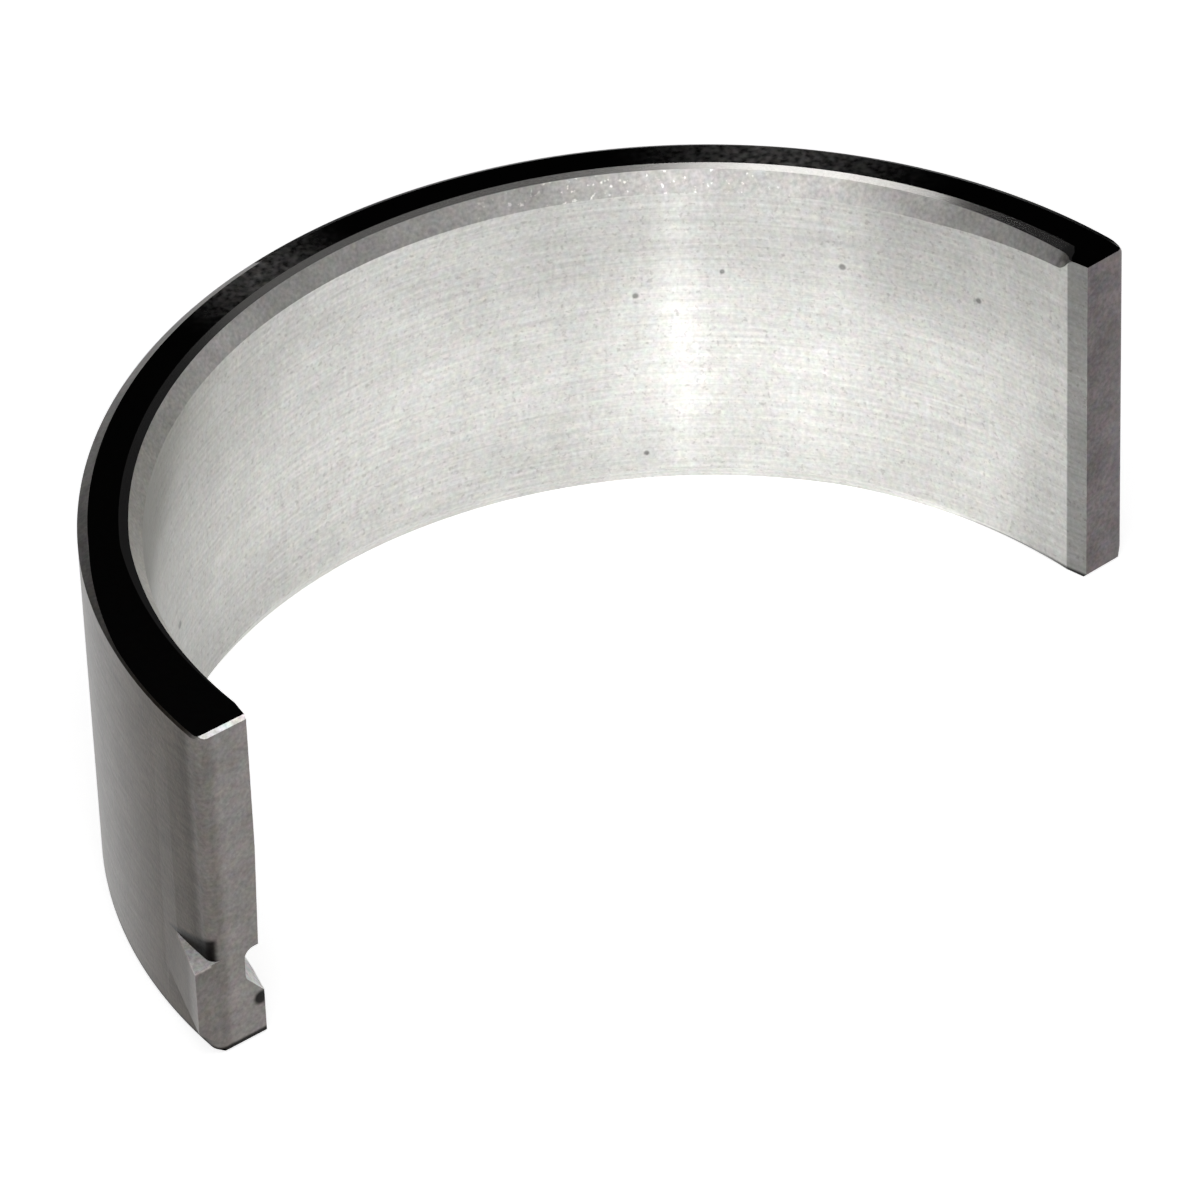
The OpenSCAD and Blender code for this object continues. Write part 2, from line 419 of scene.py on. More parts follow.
def form_strip(sizes):
    """Section with broken edges at the +X parting face, spun over to the -X one."""
    deselect_all()
    bpy.ops.mesh.primitive_plane_add(size=1)
    strip = bpy.context.object
    strip.name = "bearing_shell_dressed"
    begin_edit(strip)
    bpy.ops.mesh.select_all(action="SELECT")
    bpy.ops.transform.resize(value=(BACK_R - BORE_R, 2 * HALF_WIDTH, 1))
    bpy.ops.transform.rotate(value=pi / 2, orient_axis="X", center_override=(0, 0, 0))
    bpy.ops.transform.translate(value=(MIDDLE_R, 0, 0))
    chamfer_r = BORE_R + sizes.bore_chamfer
    back_slope = sizes.back_chamfer_height, sizes.back_chamfer
    bore_slope = -sizes.bore_chamfer_height, sizes.bore_chamfer
    for x, z, slope_x, slope_z in (
            (BACK_R - sizes.back_chamfer, HALF_WIDTH, *back_slope),
            (BACK_R - sizes.back_chamfer, -HALF_WIDTH, back_slope[0], -back_slope[1]),
            (chamfer_r, HALF_WIDTH - sizes.land_drop, -sizes.land_drop, sizes.land_width),
            (chamfer_r, HALF_WIDTH - sizes.land_drop, *bore_slope),
            (chamfer_r, -HALF_WIDTH, bore_slope[0], -bore_slope[1])):
        bpy.ops.mesh.select_all(action="SELECT")
        bpy.ops.mesh.bisect(
            plane_co=(x, 0, z), plane_no=Vector((slope_x, 0, slope_z)).normalized(),
            clear_outer=True, threshold=MERGE / 10)
    bpy.ops.mesh.select_all(action="SELECT")
    bpy.ops.transform.rotate(value=-END_ANGLE, orient_axis="Z", center_override=(0, 0, 0))
    spin_section(sizes)
    bpy.ops.mesh.select_all(action="SELECT")
    bpy.ops.mesh.normals_make_consistent(inside=False)
    fade_bore_edges(strip, sizes)
    shape_parting_end(strip, sizes, PLAIN_SIDE, sizes.plain_end_round, sizes.plain_round_length)
    shape_parting_end(strip, sizes, LUG_SIDE, sizes.lug_end_round, sizes.lug_end_round)
    break_plain_corner(strip, sizes)
    narrow_back_chamfer(strip, sizes)
    end_edit()
    return strip


def from_end(co, side):
    """Distance of a point from a parting face, along the middle of the wall."""
    return (atan2(co.y, side * co.x) - END_ANGLE) * MIDDLE_R


def on_ring(co, side, station):
    """Whether a point lies on the ring of vertices at a distance from a parting face."""
    return co.x * side > 0 and abs(from_end(co, side) - station) < NEAR


def round_draw(station, depth, length):
    """How far a rounded back edge is drawn in at a distance from its parting face."""
    rest = max(0, 1 - station / length)
    return depth * (1 - sqrt(1 - rest * rest))


def end_stations(sizes, round_length):
    """Distances from a parting face at which the strip has a ring of vertices."""
    step_angle = pi / 2 / ROUND_STEPS
    stations = [round_length * (1 - sin(step * step_angle)) for step in range(ROUND_STEPS)]
    for place in (sizes.face_edge_break, sizes.relief_length):
        if all(abs(place - station) > 2 * NEAR for station in stations):
            stations.append(place)
    return sorted(stations)


def ring_places(sizes):
    """Places of the rings of vertices, along the wall's middle from the plain parting face."""
    length = ARC_ANGLE * MIDDLE_R
    plain_stations = end_stations(sizes, sizes.plain_round_length)
    lug_stations = end_stations(sizes, sizes.lug_end_round)
    lug_places = [length - station for station in reversed(lug_stations)]
    first, last = plain_stations[-1], lug_places[0]
    between = [first + (last - first) * step / sizes.steps for step in range(1, sizes.steps)]
    return [0, *plain_stations, *between, *lug_places, length]


def spin_section(sizes):
    """Spins the selected section from the plain parting face to the lug's, ring by ring."""
    places = ring_places(sizes)
    for start, stop in zip(places, places[1:]):
        bpy.ops.mesh.spin(
            steps=1, angle=(start - stop) / MIDDLE_R, center=(0, 0, 0), axis=(0, 0, 1))


def shape_parting_end(strip, sizes, side, round_depth, round_length):
    """Rounds a parting face's back edge, draws its bore edge out and breaks its axial edges."""
    outwards = at_end(1, 0, HALF_WIDTH, side)
    chamfer_r = BACK_R - sizes.back_chamfer
    stations = (0, *end_stations(sizes, round_length))
    for station in stations:
        draw_in = round_draw(station, round_depth, round_length)
        chamfer_draw_in = max(0, draw_in - sizes.back_chamfer + CHAMFER_REST)
        draw_out = sizes.relief_depth * max(0, 1 - station / sizes.relief_length)
        for low, high, draw in (
                (chamfer_r - NEAR, chamfer_r + NEAR, -chamfer_draw_in),
                (BACK_R - NEAR, BACK_R + NEAR, -draw_in),
                (BORE_R - NEAR, MIDDLE_R, draw_out)):
            move_vertices(
                strip, lambda co: on_ring(co, side, station) and low < co.to_2d().length < high,
                draw * outwards)
    # The plain end's upper edge is sharp
    for level in (-1, 1) if side == LUG_SIDE else (-1,):
        edge_z = level * HALF_WIDTH
        for station in stations:
            cut = max(0, sizes.face_edge_break - station)
            move_vertices(
                strip, lambda co: on_ring(co, side, station) and abs(co.z - edge_z) < EDGE_BAND,
                (0, 0, -level * cut))


def break_plain_corner(strip, sizes):
    """Raises the lower end of the back edge of the plain parting face, less along the back."""
    corner_z = sizes.back_chamfer_height - HALF_WIDTH
    for station in (0, *end_stations(sizes, sizes.plain_round_length)):
        lift = sizes.plain_corner_break * max(0, 1 - station / sizes.plain_round_length)
        move_vertices(
            strip, lambda co: on_ring(co, PLAIN_SIDE, station) and abs(co.z - corner_z) < NEAR,
            (0, 0, lift))


def narrow_back_chamfer(strip, sizes):
    """Narrows the back's upper chamfer towards the parting face with the lug."""
    chamfer_foot = HALF_WIDTH - sizes.back_chamfer_height
    for place in ring_places(sizes)[:-1]:
        station = ARC_ANGLE * MIDDLE_R - place
        share = min(1, 2 - 2 * station / sizes.narrowing_length)
        if share <= 0:
            continue
        turn = END_ANGLE + station / MIDDLE_R
        draw_in = round_draw(station, sizes.lug_end_round, sizes.lug_end_round)
        width = min(sizes.narrowing * share, sizes.back_chamfer - draw_in - CHAMFER_REST)
        drop = max(0, sizes.face_edge_break - station)
        height_left = max(0, sizes.back_chamfer_height - drop - CHAMFER_REST)
        height = min(sizes.narrowing * share / 2, height_left)

        def on_back(co):
            return on_ring(co, LUG_SIDE, station) and co.to_2d().length > MIDDLE_R

        move_vertices(
            strip, lambda co: on_back(co) and co.z > chamfer_foot + NEAR,
            (-cos(turn) * width, sin(turn) * width, 0))
        move_vertices(
            strip, lambda co: on_back(co) and abs(co.z - chamfer_foot) < NEAR, (0, 0, height))


def fade_bore_edges(strip, sizes):
    """Shrinks the bore's chamfers and the land near the parting faces, to the bore's edges."""
    length = ARC_ANGLE * BORE_R
    chamfer_r = BORE_R + sizes.bore_chamfer + NEAR
    edge_r = chamfer_r + sizes.land_width
    edge_depth = sizes.bore_chamfer_height + sizes.land_drop + NEAR
    for place in ring_places(sizes):
        turn = END_ANGLE + place / MIDDLE_R
        plain_place = place * BORE_R / MIDDLE_R
        for level in (-1, 1):
            edge = Vector((BORE_R * cos(turn), BORE_R * sin(turn), level * HALF_WIDTH))

            def on_bore_edge(co, radius):
                at_turn = abs(atan2(co.y, co.x) - turn) < NEAR / MIDDLE_R
                return at_turn and co.to_2d().length < radius and abs(co.z - edge.z) < edge_depth

            plain_share = plain_place / sizes.long_fade
            if level > 0:
                plain_share = (plain_place - sizes.short_fade_start) / sizes.short_fade
                taper = sizes.plain_taper * max(0, 1 - plain_place / sizes.plain_taper_length)
                if taper > 0:
                    # The chamfer narrows towards the plain end and the land grows wider
                    chamfer_top = edge - Vector((0, 0, sizes.land_drop))
                    select_vertices(strip, lambda co: on_bore_edge(co, chamfer_r))
                    bpy.ops.transform.resize(
                        value=(1 - taper,) * 3, center_override=chamfer_top)
            share = min(1, plain_share, (length - plain_place) / sizes.long_fade)
            if share < 1:
                select_vertices(strip, lambda co: on_bore_edge(co, edge_r))
                bpy.ops.transform.resize(value=(max(share, FADED),) * 3, center_override=edge)


def tilted_block(name, outline, floor_x, tilt, length):
    """A punch along the bore at the lug's end, from four (depth from its floor, height) points."""
    signs = ((-1, 1), (1, 1), (1, -1), (-1, -1))
    corners = {}
    for y_sign, y in ((-1, -OVERRUN), (1, length + OVERRUN)):
        for (x_sign, z_sign), (x, z) in zip(signs, outline):
            across = floor_x + x * cos(tilt) - y * sin(tilt)
            along = x * sin(tilt) + y * cos(tilt)
            corners[(x_sign, y_sign, z_sign)] = at_end(across, along, z, LUG_SIDE)
    return block(name, corners)


def round_floor_edge(punch, place, offset):
    """Rounds the long edge of a punch that runs nearest to a place."""
    begin_edit(punch)
    bpy.ops.mesh.select_mode(type="EDGE")
    mesh = bmesh.from_edit_mesh(punch.data)

    def distance(edge):
        start, end = (vertex.co for vertex in edge.verts)
        way = (end - start).normalized()
        return (place - start - way * way.dot(place - start)).length

    def runs_level(edge):
        start, end = (vertex.co for vertex in edge.verts)
        return edge.calc_length() > LONG_EDGE and abs(start.z - end.z) < MERGE

    nearest = min(filter(runs_level, mesh.edges), key=distance)
    nearest.select = True
    bmesh.update_edit_mesh(punch.data)
    bpy.ops.mesh.bevel(offset=offset, segments=RECESS_STEPS, affect="EDGES")
    end_edit()


def press_lug(strip, sizes):
    """Joins the pressed-out corner to the back and cuts its punch mark into the bore."""
    shear_z = sizes.lug_offset + sizes.lug_width
    foot_depth = sizes.lug_end_round
    foot_z = sizes.lug_offset - sizes.lug_proud - foot_depth
    root_r = BACK_R - ROOT_SINK
    high_turn = sizes.lug_length / BACK_R
    low_turn = (sizes.lug_length + sizes.lug_slant) / BACK_R
    high_root = at_end(root_r * cos(high_turn), root_r * sin(high_turn), shear_z, LUG_SIDE)
    low_root = at_end(
        root_r * cos(low_turn), root_r * sin(low_turn),
        sizes.lug_offset + sizes.lug_crease_rise, LUG_SIDE)
    lug = block("lug", {
        (-1, -1, 1): at_end(MIDDLE_R, 0, shear_z, LUG_SIDE),
        (1, -1, 1): at_end(BACK_R + sizes.lug_proud, 0, shear_z, LUG_SIDE),
        (1, -1, -1): at_end(BACK_R + sizes.lug_proud, 0, sizes.lug_offset, LUG_SIDE),
        (-1, -1, -1): at_end(BACK_R - foot_depth, 0, foot_z, LUG_SIDE),
        (-1, 1, 1): high_root, (1, 1, 1): high_root,
        (-1, 1, -1): low_root, (1, 1, -1): low_root,
    })
    combine(strip, lug, "UNION")

    runout_x = sqrt(BORE_R ** 2 - sizes.recess_length ** 2)
    tilt = atan2(BORE_R + sizes.recess_depth - runout_x, sizes.recess_length)
    floor_x = BORE_R + sizes.recess_depth
    inner = -sizes.recess_depth - OVERRUN
    edge = sizes.relief_depth - sizes.recess_depth
    top = shear_z - sizes.recess_drop
    draw_top = top + 2 * sizes.edge_draw_height
    slope = sizes.recess_slope
    low_offset = sizes.recess_round * tan((pi / 2 - slope) / 2)
    floor_low = top - sizes.recess_round - sizes.recess_floor - low_offset
    wedge = tilted_block("edge_draw", (
        (inner, draw_top), (edge - sizes.edge_draw, draw_top),
        (edge + sizes.edge_draw, top), (inner, top),
    ), floor_x, tilt, sizes.recess_length)
    punch = tilted_block("punch", (
        (inner, top), (0, top), (0, floor_low), (inner, floor_low + inner * tan(slope)),
    ), floor_x, tilt, sizes.recess_length)
    round_floor_edge(punch, at_end(floor_x, 0, top, LUG_SIDE), sizes.recess_round)
    round_floor_edge(punch, at_end(floor_x, 0, floor_low, LUG_SIDE), low_offset)
    for tool in (wedge, punch):
        combine(strip, tool, "DIFFERENCE")


def add_node(tree, kind, inputs=(), **settings):
    """Adds a node; an input is a value, or the socket to link, under its name or place."""
    node = tree.nodes.new(kind)
    for key, value in settings.items():
        setattr(node, key, value)
    for place, value in dict(inputs).items():
        if isinstance(value, bpy.types.NodeSocket):
            tree.links.new(value, node.inputs[place])
        else:
            node.inputs[place].default_value = value
    return node


def calc(tree, operation, *values):
    """Result of a sum on numbers or sockets."""
    return add_node(tree, "ShaderNodeMath", enumerate(values), operation=operation).outputs[0]


def calc_vector(tree, operation, *values, **named):
    """Result of a sum on vectors, colours or sockets."""
    inputs = {**dict(enumerate(values)), **named}
    return add_node(tree, "ShaderNodeVectorMath", inputs, operation=operation).outputs[0]


def rise(tree, value, low, high):
    """Smooth step from 0 at the low value to 1 at the high one."""
    inputs = {"Value": value, "From Min": low, "From Max": high}
    step = add_node(tree, "ShaderNodeMapRange", inputs, interpolation_type="SMOOTHSTEP")
    return step.outputs[0]


def fall(tree, value, low, high):
    """Smooth step from 1 at the low value to 0 at the high one."""
    return calc(tree, "SUBTRACT", 1.0, rise(tree, value, low, high))


def mix_colors(tree, share, first, second):
    """Colour between two, by a share."""
    node = add_node(tree, "ShaderNodeMix", {0: share, 6: first, 7: second}, data_type="RGBA")
    return node.outputs[2]


def noise(tree, vector, scale, detail=2.0, output="Fac"):
    """Noise, by its features per unit of the vector."""
    inputs = {"Vector": vector, "Scale": scale, "Detail": detail}
    return add_node(tree, "ShaderNodeTexNoise", inputs).outputs[output]


def shade(tree, mask, amount, base=1.0):
    """Factor that is its base where a mask is 0, and an amount more where it is 1."""
    return calc(tree, "MULTIPLY_ADD", mask, amount, base)


def around_one(tree, value, amount):
    """Turns a noise value into a factor that varies about 1."""
    return shade(tree, value, amount, 1 - amount / 2)


def product(tree, *values):
    """All the values multiplied together."""
    result = values[0]
    for value in values[1:]:
        result = calc(tree, "MULTIPLY", result, value)
    return result


def band(tree, value, start, full, last, end):
    """Smooth mask that rises from a start, is full up to the last value and falls to an end."""
    return product(tree, rise(tree, value, start, full), fall(tree, value, last, end))


def length_of(tree, vector):
    """Length of a vector."""
    node = add_node(tree, "ShaderNodeVectorMath", {0: vector}, operation="LENGTH")
    return node.outputs["Value"]


class Finish:
    """A metal material with the coordinates that its patterns use, in millimetres."""

    def __init__(self, name, metallic=1.0):
        self.material = bpy.data.materials.new(name)
        self.material.use_nodes = True
        self.tree = self.material.node_tree
        self.shader = self.tree.nodes["Principled BSDF"]
        self.shader.inputs["Metallic"].default_value = metallic
        place = add_node(self.tree, "ShaderNodeTexCoord").outputs["Object"]
        self.point = calc_vector(self.tree, "SCALE", place, Scale=1 / MM)
        split = add_node(self.tree, "ShaderNodeSeparateXYZ", {0: self.point})
        turn = calc(self.tree, "ARCTAN2", split.outputs["Y"], split.outputs["X"])
        from_lug = calc(self.tree, "SUBTRACT", pi - END_ANGLE, turn)
        # Length along the bore from the lug's parting face, and height above the lower end face
        self.arc = calc(self.tree, "MULTIPLY", from_lug, BORE_R / MM)
        self.height = calc(self.tree, "ADD", split.outputs["Z"], HALF_WIDTH / MM)
        squares = [calc(self.tree, "POWER", split.outputs[axis], 2.0) for axis in "XY"]
        self.radius = calc(self.tree, "SQRT", calc(self.tree, "ADD", *squares))
        flat = {"X": self.arc, "Y": self.height}
        self.sheet = add_node(self.tree, "ShaderNodeCombineXYZ", flat).outputs[0]

    def streaks(self, along, across, detail=2.0):
        """Noise drawn out along the strip, by its features per millimetre each way."""
        stretched = calc_vector(self.tree, "MULTIPLY", self.sheet, (along, across, 1.0))
        return noise(self.tree, stretched, 1.0, detail)

    def spot(self, arc, height, size):
        """Mask of a small round mark at a place on the strip."""
        away = calc_vector(self.tree, "SUBTRACT", self.sheet, (arc, height, 0.0))
        return fall(self.tree, length_of(self.tree, away), 0.4 * size, size)

    def grain(self):
        """Fine grain, alike in all directions."""
        return noise(self.tree, self.point, GRAIN_SCALE)

    def mottle(self, scale):
        """Cloudy noise, by its features per millimetre."""
        return noise(self.tree, self.point, scale, 4.0)

    def paint(self, color, tone, hue):
        """Sets the base colour: a colour or socket with a little hue noise, times a tone."""
        tint = noise(self.tree, self.point, HUE_SCALE, 1.0, "Color")
        tint = calc_vector(self.tree, "MULTIPLY_ADD", tint, (hue,) * 3, (1 - hue / 2,) * 3)
        painted = calc_vector(self.tree, "MULTIPLY", color, tint)
        painted = calc_vector(self.tree, "SCALE", painted, Scale=tone)
        self.tree.links.new(painted, self.shader.inputs["Base Color"])

    def roughen(self, value, height=None, depth=0.0):
        """Sets the roughness, and bump of a depth in metres from a height pattern."""
        if isinstance(value, bpy.types.NodeSocket):
            self.tree.links.new(value, self.shader.inputs["Roughness"])
        else:
            self.shader.inputs["Roughness"].default_value = value
        if height is None:
            return
        bump = add_node(self.tree, "ShaderNodeBump", {"Height": height, "Distance": depth})
        self.tree.links.new(bump.outputs[0], self.shader.inputs["Normal"])


def lining_finish(finish, sizes):
    """Bored lining: fine lines round the bore, mottled, darker beside the parting faces, with
    painted shade and light.
    """
    lining = Finish("bore_lining")
    tree = lining.tree
    lines = lining.streaks(0.15, 5.0)
    ribs = lining.streaks(2.5, 0.2)
    mottle = lining.mottle(0.35)
    grain = lining.grain()
    end_arc = ARC_ANGLE * BORE_R / MM
    relief = sizes.relief_length / MM
    from_plain = calc(tree, "SUBTRACT", end_arc, lining.arc)
    # Broad painted shade and light, in millimetres along the bore and up it, then the small marks
    # lug_shade is a painted reflection of the shadow cast inside the shell, darkest towards the
    # lug's end
    lug_shade = shade(tree, rise(tree, lining.arc, 4.0, 46.0), 0.72, 0.28)
    top_depth = shade(tree, rise(tree, lining.arc, 44.0, 58.0), -0.1, -0.14)
    top_shade = shade(tree, rise(tree, lining.height, 9.0, 15.5), top_depth)
    low_shade = shade(tree, rise(tree, lining.height, 0.5, 7.0), 0.13, 0.87)
    plain_light = shade(tree, band(tree, from_plain, 2.0, 6.0, 17.0, 28.0), 0.09, 0.94)
    plain_side = fall(tree, from_plain, 1.5, 8.0)
    plain_shade = shade(
        tree, product(tree, plain_side, fall(tree, lining.height, 8.0, 14.0)), -0.22)
    nearest = calc(tree, "MINIMUM", lining.arc, from_plain)
    relief_shade = shade(tree, rise(tree, nearest, relief * 0.9, relief), 0.5, 0.5)
    # Painted shadow along the bore's lower edge near the plain end
    bore_foot_shadow = product(
        tree, fall(tree, from_plain, 3.0, 9.0), fall(tree, lining.height, 0.1, 0.3))
    pits = rise(tree, noise(tree, lining.point, 4.0), 0.6, 0.7)
    specks = [shade(tree, lining.spot(*speck), -0.55) for speck in SPECKS]
    tone = product(
        tree, around_one(tree, lines, 0.42), around_one(tree, ribs, 0.15),
        around_one(tree, mottle, 0.3), around_one(tree, grain, 0.5),
        lug_shade, top_shade, low_shade, plain_light, plain_shade, relief_shade,
        shade(tree, bore_foot_shadow, -0.9), shade(tree, pits, -0.2), *specks)
    lining.paint(finish.lining_color, tone, 0.12)
    lining.roughen(0.31, calc(tree, "ADD", lines, grain), 0.002 * MM)
    lining.shader.inputs["Anisotropic"].default_value = 0.97
    lining.shader.inputs["Anisotropic Rotation"].default_value = 0.25
    tangent = add_node(tree, "ShaderNodeTangent", direction_type="RADIAL", axis="Z")
    tree.links.new(tangent.outputs[0], lining.shader.inputs["Tangent"])
    return lining.material


def mottled_finish(name, color, roughness, relief=0.003 * MM, metallic=1.0, contrast=1.0):
    """Plain worked metal, mottled and grainy."""
    metal = Finish(name, metallic)
    tree = metal.tree
    mottle = metal.mottle(0.6)
    grain = metal.grain()
    tone = product(
        tree, around_one(tree, mottle, 0.9 * contrast), around_one(tree, grain, contrast))
    metal.paint(color, tone, 0.3 * contrast)
    metal.roughen(roughness, grain if relief else None, relief)
    return metal.material


def edge_finish(finish):
    """Cut chamfer of the bore's upper edge, with bright nicked spots about its middle, partly
    painted glints, and a painted highlight at its plain end.
    """
    edge = Finish("bore_edge")
    tree = edge.tree
    mottle = edge.mottle(0.6)
    grain = edge.grain()
    nicks_and_glints = product(
        tree, rise(tree, noise(tree, edge.point, 3.5, 3.0), 0.62, 0.7),
        band(tree, edge.arc, 44.0, 52.0, 58.0, 64.0))
    # Painted highlight at the chamfer's end by the plain parting face
    end_highlight = edge.spot(ARC_ANGLE * BORE_R / MM - 1.5, 18.2, 0.35)
    nicks_and_glints = calc(tree, "MAXIMUM", nicks_and_glints, end_highlight)
    tone = product(
        tree, around_one(tree, mottle, 0.6), around_one(tree, grain, 0.8),
        shade(tree, nicks_and_glints, 0.9))
    edge.paint(finish.edge_color, tone, 0.15)
    edge.roughen(0.34, grain, 0.002 * MM)
    return edge.material


def rim_finish(finish):
    """End faces, near-black partly as painted dark reflection, rubbed duller and lighter in two
    places.
    """
    rim = Finish("end_face")
    tree = rim.tree
    streaks = noise(tree, rim.point, 3.0, 3.0)
    rubbed = 0.0
    for low, high in ((53.0, 70.0), (30.0, 41.0)):
        middle = (low + high) / 2
        rubbed = calc(tree, "MAXIMUM", band(tree, rim.arc, low, middle, middle, high), rubbed)
    rubbed = calc(tree, "MULTIPLY", rubbed, rise(tree, streaks, 0.1, 0.8))
    color = mix_colors(tree, rubbed, (*finish.rim_color, 1), (*finish.rubbed_color, 1))
    rim.paint(color, around_one(tree, streaks, 0.5), 0.2)
    rim.roughen(shade(tree, rubbed, 0.3, 0.22))
    rim.shader.inputs["Specular Tint"].default_value = (0.1, 0.1, 0.1, 1)
    return rim.material


def back_finish(finish, sizes):
    """Steel back, led round onto the lug's parting face, with a stain, a spot and painted shadows
    and highlight by the lug.
    """
    back = Finish("steel_back")
    tree = back.tree
    mottle = back.mottle(0.4)
    grain = back.grain()
    back_r = BACK_R / MM
    # Colour: the parting face, then the stain round its corner, then the plain back
    stain_side = product(tree, rise(tree, back.radius, back_r - 1.15, back_r - 0.5), 0.4)
    stained = calc(tree, "MAXIMUM", rise(tree, back.arc, 0.1, 1.2), stain_side)
    color = mix_colors(tree, stained, (*finish.lug_face_color, 1), (*finish.stain_color, 1))
    color = mix_colors(tree, rise(tree, back.arc, 2.5, 13.0), color, (*finish.back_color, 1))
    # Dark marks: painted shadow in the wedge over the lug's sheared side, a dark spot under the
    # recess, and painted shadow along the lower edge
    above = calc(tree, "SUBTRACT", back.height, (sizes.lug_offset + sizes.lug_width) / MM)
    over_wedge = calc(tree, "SUBTRACT", above, shade(tree, back.arc, -0.38, 1.45))
    ledge_shadow = product(
        tree, rise(tree, above, -0.02, 0.02), fall(tree, over_wedge, -0.3, 0.05),
        rise(tree, back.radius, back_r - 0.45, back_r - 0.15), fall(tree, back.arc, 3.2, 3.6))
    on_face = {"X": back.radius, "Y": back.height}
    on_face = add_node(tree, "ShaderNodeCombineXYZ", on_face).outputs[0]
    from_spot = calc_vector(tree, "SUBTRACT", on_face, (BORE_R / MM + 0.43, 2.25, 0.0))
    spot = fall(tree, length_of(tree, from_spot), 0.25, 0.52)
    back_foot_shadow = fall(tree, back.height, 0.32, 0.5)
    marks = calc(tree, "MAXIMUM", calc(tree, "MAXIMUM", ledge_shadow, spot), back_foot_shadow)
    # Painted highlight along the lug's sheared side, painted shade on the rounded corner, and
    # flecks on the back
    sheared_highlight = product(
        tree, band(tree, above, -0.2, -0.04, 0.0, 0.02),
        rise(tree, back.radius, back_r + 0.01, back_r + 0.15))
    rounded = band(tree, back.arc, 0.1, 0.6, 0.8, 1.8)
    flecks = calc(tree, "SUBTRACT", back.streaks(0.5, 4.0, 3.0), 0.5)
    flecks = product(tree, flecks, rise(tree, back.arc, 0.2, 1.0))
    tone = product(
        tree, around_one(tree, mottle, 0.6), around_one(tree, grain, 0.8),
        shade(tree, flecks, 1.2), shade(tree, marks, -0.93), shade(tree, sheared_highlight, 1.6),
        shade(tree, rounded, -0.22))
    back.paint(color, tone, 0.2)
    back.roughen(0.38, grain, 0.009 * MM)
    return back.material


def dress_faces(shell, finish, sizes):
    """Gives each kind of surface its finish, found by its place and direction.

    The tests take a face's centre and its normal, and a later one overrules an earlier one.
    """
    shear_z = sizes.lug_offset + sizes.lug_width - HALF_WIDTH

    def outward(centre, normal):
        return normal.to_2d().dot(centre.to_2d().normalized())

    def endward(centre, normal):
        side = LUG_SIDE if centre.x < 0 else PLAIN_SIDE
        return normal.dot(Vector((side * sin(END_ANGLE), -cos(END_ANGLE), 0)))

    def on_parting_face(centre, normal):
        return centre.y < FACE_REACH and endward(centre, normal) > 0.6

    def on_recess(centre, normal):
        low = centre.z < shear_z and centre.x < 0 and centre.y < RECESS_REACH
        return low and centre.to_2d().length < BORE_R + sizes.recess_depth and normal.z > 0.2

    dressed = (
        (back_finish(finish, sizes), None),
        (lining_finish(finish, sizes),
         lambda c, n: outward(c, n) < -0.9 or outward(c, n) < -0.3 and n.z < -0.3),
        (edge_finish(finish),
         lambda c, n: outward(c, n) < -0.3 and n.z > 0.3),
        # Near-black end faces, also put on the upper back chamfer as painted dark reflection and
        # on the lower back chamfer at the lug's end as painted shadow
        (rim_finish(finish),
         lambda c, n: abs(n.z) > 0.9 and abs(c.z) > HALF_WIDTH - 0.2 * MM
         or n.z > 0.6 and outward(c, n) > 0.2 and atan2(c.y, c.x) < DARK_CHAMFER_END
         or n.z < -0.3 and outward(c, n) > 0.2 and c.x < 0),
        (mottled_finish("land", finish.land_color, 0.1, relief=0.0, contrast=0.2),
         lambda c, n: 0.95 < n.z < 0.996 and outward(c, n) < -0.05),
        (mottled_finish("plain_parting_face", finish.plain_face_color, 0.4),
         lambda c, n: c.x > 0 and on_parting_face(c, n)),
        (mottled_finish("worn_edge", finish.worn_color, 0.3),
         lambda c, n: c.x < 0 < c.z and c.y < FACE_REACH
         and n.z > 0.5 and endward(c, n) > 0.5),
        (mottled_finish("sheared_side", finish.shear_color, 0.6, metallic=0.2),
         lambda c, n: n.z > 0.9 and abs(c.z - shear_z) < 0.1 * MM and c.x < 0),
        (mottled_finish("punched_recess", finish.recess_color, 0.4, metallic=0.1), on_recess),
    )
    begin_edit(shell)
    for index, (material, test) in enumerate(dressed):
        shell.data.materials.append(material)
        if test is None:
            continue
        select_faces(shell, test)
        shell.active_material_index = index
        bpy.ops.object.material_slot_assign()
        if material.name == "land":
            bpy.ops.mesh.region_to_loop()
            bpy.ops.mesh.mark_sharp()
    end_edit()


class BEARING_OT_shell(bpy.types.Operator):
    """Models the bearing shell, its lug and its finishes"""

    bl_idname = "bearing.shell"
    bl_label = "Bearing shell"

    def execute(self, context):
        sizes = context.scene.bearing_sizes
        shell = form_strip(sizes)
        press_lug(shell, sizes)
        dress_faces(shell, context.scene.bearing_finish, sizes)
        select_alone(shell)
        bpy.ops.object.shade_smooth_by_angle(angle=SMOOTH_ANGLE)
        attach(shell, BODY)
        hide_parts(NODE)
        return {"FINISHED"}


def floor_material(studio):
    """Pale floor that glows white to the camera and in metal, and still takes a shadow."""
    material = bpy.data.materials.new("pale_floor")
    material.use_nodes = True
    tree = material.node_tree
    tree.nodes.clear()
    path = add_node(tree, "ShaderNodeLightPath")
    seen = 0.0
    for ray in ("Is Camera Ray", "Is Glossy Ray", "Is Transmission Ray"):
        seen = calc(tree, "MAXIMUM", path.outputs[ray], seen)
    strength = calc(tree, "MULTIPLY", seen, studio.floor_glow)
    glow = add_node(tree, "ShaderNodeEmission", {"Strength": strength})
    diffuse = add_node(tree, "ShaderNodeBsdfDiffuse", {"Color": (*studio.floor_color, 1)})
    both = add_node(tree, "ShaderNodeAddShader", {0: diffuse.outputs[0], 1: glow.outputs[0]})
    add_node(tree, "ShaderNodeOutputMaterial", {"Surface": both.outputs[0]})
    return material


